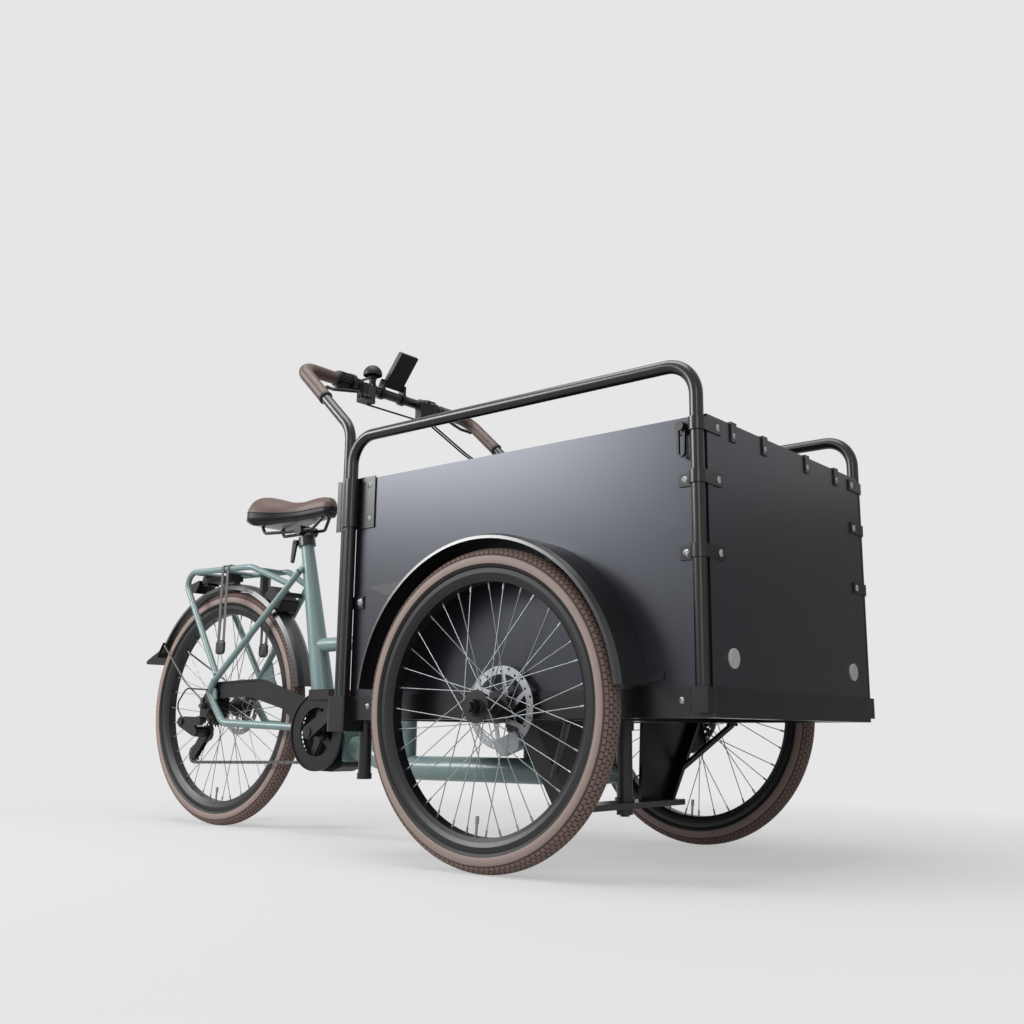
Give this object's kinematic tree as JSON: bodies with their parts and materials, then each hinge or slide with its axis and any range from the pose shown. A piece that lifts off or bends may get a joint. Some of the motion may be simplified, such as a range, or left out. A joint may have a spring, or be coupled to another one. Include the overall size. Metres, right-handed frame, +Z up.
{
  "type": "cargo tricycle",
  "caption": "Box-steered cargo tricycle: open panel box between two front wheels turns on a kingpin under the floor; rear wheel is driven by a chain.",
  "frame": {"origin": "on the ground under the middle of the overall length, on the middle plane", "axes": "+X forward, +Y to the rider's left, +Z up"},
  "size_m": [2.1681, 0.892, 1.2479],
  "materials": {
    "frame_paint": "satin sage green",
    "black_paint": "satin black powder coat",
    "panel": "dark coated plywood",
    "gloss_black": "gloss black moulding",
    "black_plastic": "matt black moulding",
    "steel": "bright steel",
    "alloy": "black anodised alloy",
    "tyre": "brown rubber",
    "tan": "brown stitched cover",
    "rubber": "elastic rubber",
    "lens": "clear reflector lens"
  },
  "bodies": {
    "frame": {"main_frame": "frame_paint", "rear_stays": "frame_paint", "rear_rack": "frame_paint", "rack_deck": "black_plastic", "luggage_strap": "rubber", "rear_fender": "gloss_black", "motor_housing": "black_plastic", "chain": "steel", "chain_guard": "black_plastic", "rear_axle": "steel", "rear_caliper": "alloy", "seat_clamp": "alloy", "derailleur_body": "black_paint"},
    "front": {"rail_frame": "black_paint", "cradle": "black_paint", "kingpin": "steel", "side_panels": "panel", "front_panel": "panel", "rear_panel": "panel", "floor_panel": "panel", "side_hoops": "black_paint", "handlebar": "black_paint", "grips": "tan", "bar_clamps": "black_plastic", "brake_hoses": "rubber", "corner_straps": "black_paint", "bolts": "steel", "front_reflectors": "lens", "front_fenders": "gloss_black", "stub_axles": "steel"},
    "front_wheel_right": {"front_tyre_right": "tyre", "front_rim_right": "alloy", "front_spokes_right": "steel", "front_hub_right": "alloy"},
    "front_wheel_left": {"front_tyre_left": "tyre", "front_rim_left": "alloy", "front_spokes_left": "steel", "front_hub_left": "alloy"},
    "rear_wheel": {"rear_tyre": "tyre", "rear_rim": "alloy", "rear_spokes": "steel", "rear_hub": "alloy"},
    "crank": {"crank_set": "alloy"},
    "pedal_right": {"pedal_right": "black_plastic"},
    "pedal_left": {"pedal_left": "black_plastic"},
    "cassette": {"cassette": "steel"},
    "cage": {"derailleur_cage": "black_paint"},
    "guide_top": {"guide_wheel_top": "black_plastic"},
    "guide_low": {"guide_wheel_low": "black_plastic"},
    "saddle": {"seat_post": "steel", "saddle_cover": "tan", "saddle_frame": "black_paint"},
    "seat_lever": {"seat_lever": "steel"},
    "brake_lever_left": {"brake_lever_left": "black_paint"},
    "brake_lever_right": {"brake_lever_right": "black_paint"},
    "twist_shifter": {"twist_shifter": "black_plastic"},
    "bell_lever": {"bell_lever": "black_plastic"},
    "display": {"display": "black_plastic"},
    "control_button": {"control_button": "black_plastic"},
    "tie_ring": {"tie_ring": "black_paint"}
  },
  "joints": [
    {"name": "steering", "type": "hinge", "parent": "frame", "child": "front", "pos_m": [0.6705, 0, 0.2], "axis": [0, 0, 1], "range_deg": [-25, 25]},
    {"name": "front_wheel_right_spin", "type": "hinge", "parent": "front", "child": "front_wheel_right", "pos_m": [0.6205, -0.39, 0.3035], "axis": [0, 1, 0], "continuous": true},
    {"name": "front_wheel_left_spin", "type": "hinge", "parent": "front", "child": "front_wheel_left", "pos_m": [0.6205, 0.39, 0.3035], "axis": [0, 1, 0], "continuous": true},
    {"name": "rear_wheel_spin", "type": "hinge", "parent": "frame", "child": "rear_wheel", "pos_m": [-0.7095, 0, 0.3295], "axis": [0, 1, 0], "continuous": true},
    {"name": "crank_spin", "type": "hinge", "parent": "frame", "child": "crank", "pos_m": [-0.2415, 0, 0.258], "axis": [0, 1, 0], "continuous": true, "deforming": ["chain"]},
    {"name": "pedal_right_spin", "type": "hinge", "parent": "crank", "child": "pedal_right", "pos_m": [-0.08995, -0.14, 0.3455], "axis": [0, 1, 0], "continuous": true},
    {"name": "pedal_left_spin", "type": "hinge", "parent": "crank", "child": "pedal_left", "pos_m": [-0.39305, 0.14, 0.1705], "axis": [0, 1, 0], "continuous": true},
    {"name": "cassette_spin", "type": "hinge", "parent": "frame", "child": "cassette", "pos_m": [-0.7095, -0.045, 0.3295], "axis": [0, 1, 0], "continuous": true},
    {"name": "cage_swing", "type": "hinge", "parent": "frame", "child": "cage", "pos_m": [-0.7295, -0.045, 0.2565], "axis": [0, 1, 0], "range_deg": [-15, 15], "stiffness_Nm_per_rad": 3, "deforming": ["chain"]},
    {"name": "guide_top_spin", "type": "hinge", "parent": "cage", "child": "guide_top", "pos_m": [-0.7295, -0.045, 0.2565], "axis": [0, 1, 0], "continuous": true},
    {"name": "guide_low_spin", "type": "hinge", "parent": "cage", "child": "guide_low", "pos_m": [-0.78071, -0.045, 0.19504], "axis": [0, 1, 0], "continuous": true},
    {"name": "seat_slide", "type": "slide", "parent": "frame", "child": "saddle", "axis": [-0.2215, 0, 0.9751], "range_m": [0, 0.12]},
    {"name": "seat_lever_turn", "type": "hinge", "parent": "frame", "child": "seat_lever", "pos_m": [-0.42293, -0.014, 0.7762], "axis": [0, 1, 0], "range_deg": [0, 100]},
    {"name": "brake_lever_left_pull", "type": "hinge", "parent": "front", "child": "brake_lever_left", "pos_m": [-0.0395, 0.126, 1.105], "axis": [0, 0, 1], "range_deg": [0, 14], "stiffness_Nm_per_rad": 4},
    {"name": "brake_lever_right_pull", "type": "hinge", "parent": "front", "child": "brake_lever_right", "pos_m": [-0.0395, -0.126, 1.105], "axis": [0, 0, -1], "range_deg": [0, 14], "stiffness_Nm_per_rad": 4},
    {"name": "shift_twist", "type": "hinge", "parent": "front", "child": "twist_shifter", "pos_m": [-0.0775, -0.17, 1.143], "axis": [0, 1, 0], "range_deg": [-45, 45]},
    {"name": "bell_lever_push", "type": "hinge", "parent": "front", "child": "bell_lever", "pos_m": [-0.0735, -0.07, 1.174], "axis": [0, 0, 1], "range_deg": [0, 25], "stiffness_Nm_per_rad": 0.2},
    {"name": "display_tilt", "type": "hinge", "parent": "front", "child": "display", "pos_m": [-0.0695, 0.002, 1.173], "axis": [0, 1, 0], "range_deg": [-20, 20]},
    {"name": "button_press", "type": "slide", "parent": "front", "child": "control_button", "axis": [0.9864, 0, -0.1644], "range_m": [0, 0.0015], "stiffness_N_per_m": 800},
    {"name": "tie_ring_swing", "type": "hinge", "parent": "front", "child": "tie_ring", "pos_m": [1.0318, -0.342, 0.795], "axis": [0, 1, 0], "range_deg": [0, 70]}
  ],
  "couplings": [
    {"joint": "cassette_spin", "follows": "crank_spin", "ratio": 2.1111},
    {"joint": "guide_top_spin", "follows": "crank_spin", "ratio": -3.4545},
    {"joint": "guide_low_spin", "follows": "crank_spin", "ratio": 3.4545}
  ]
}
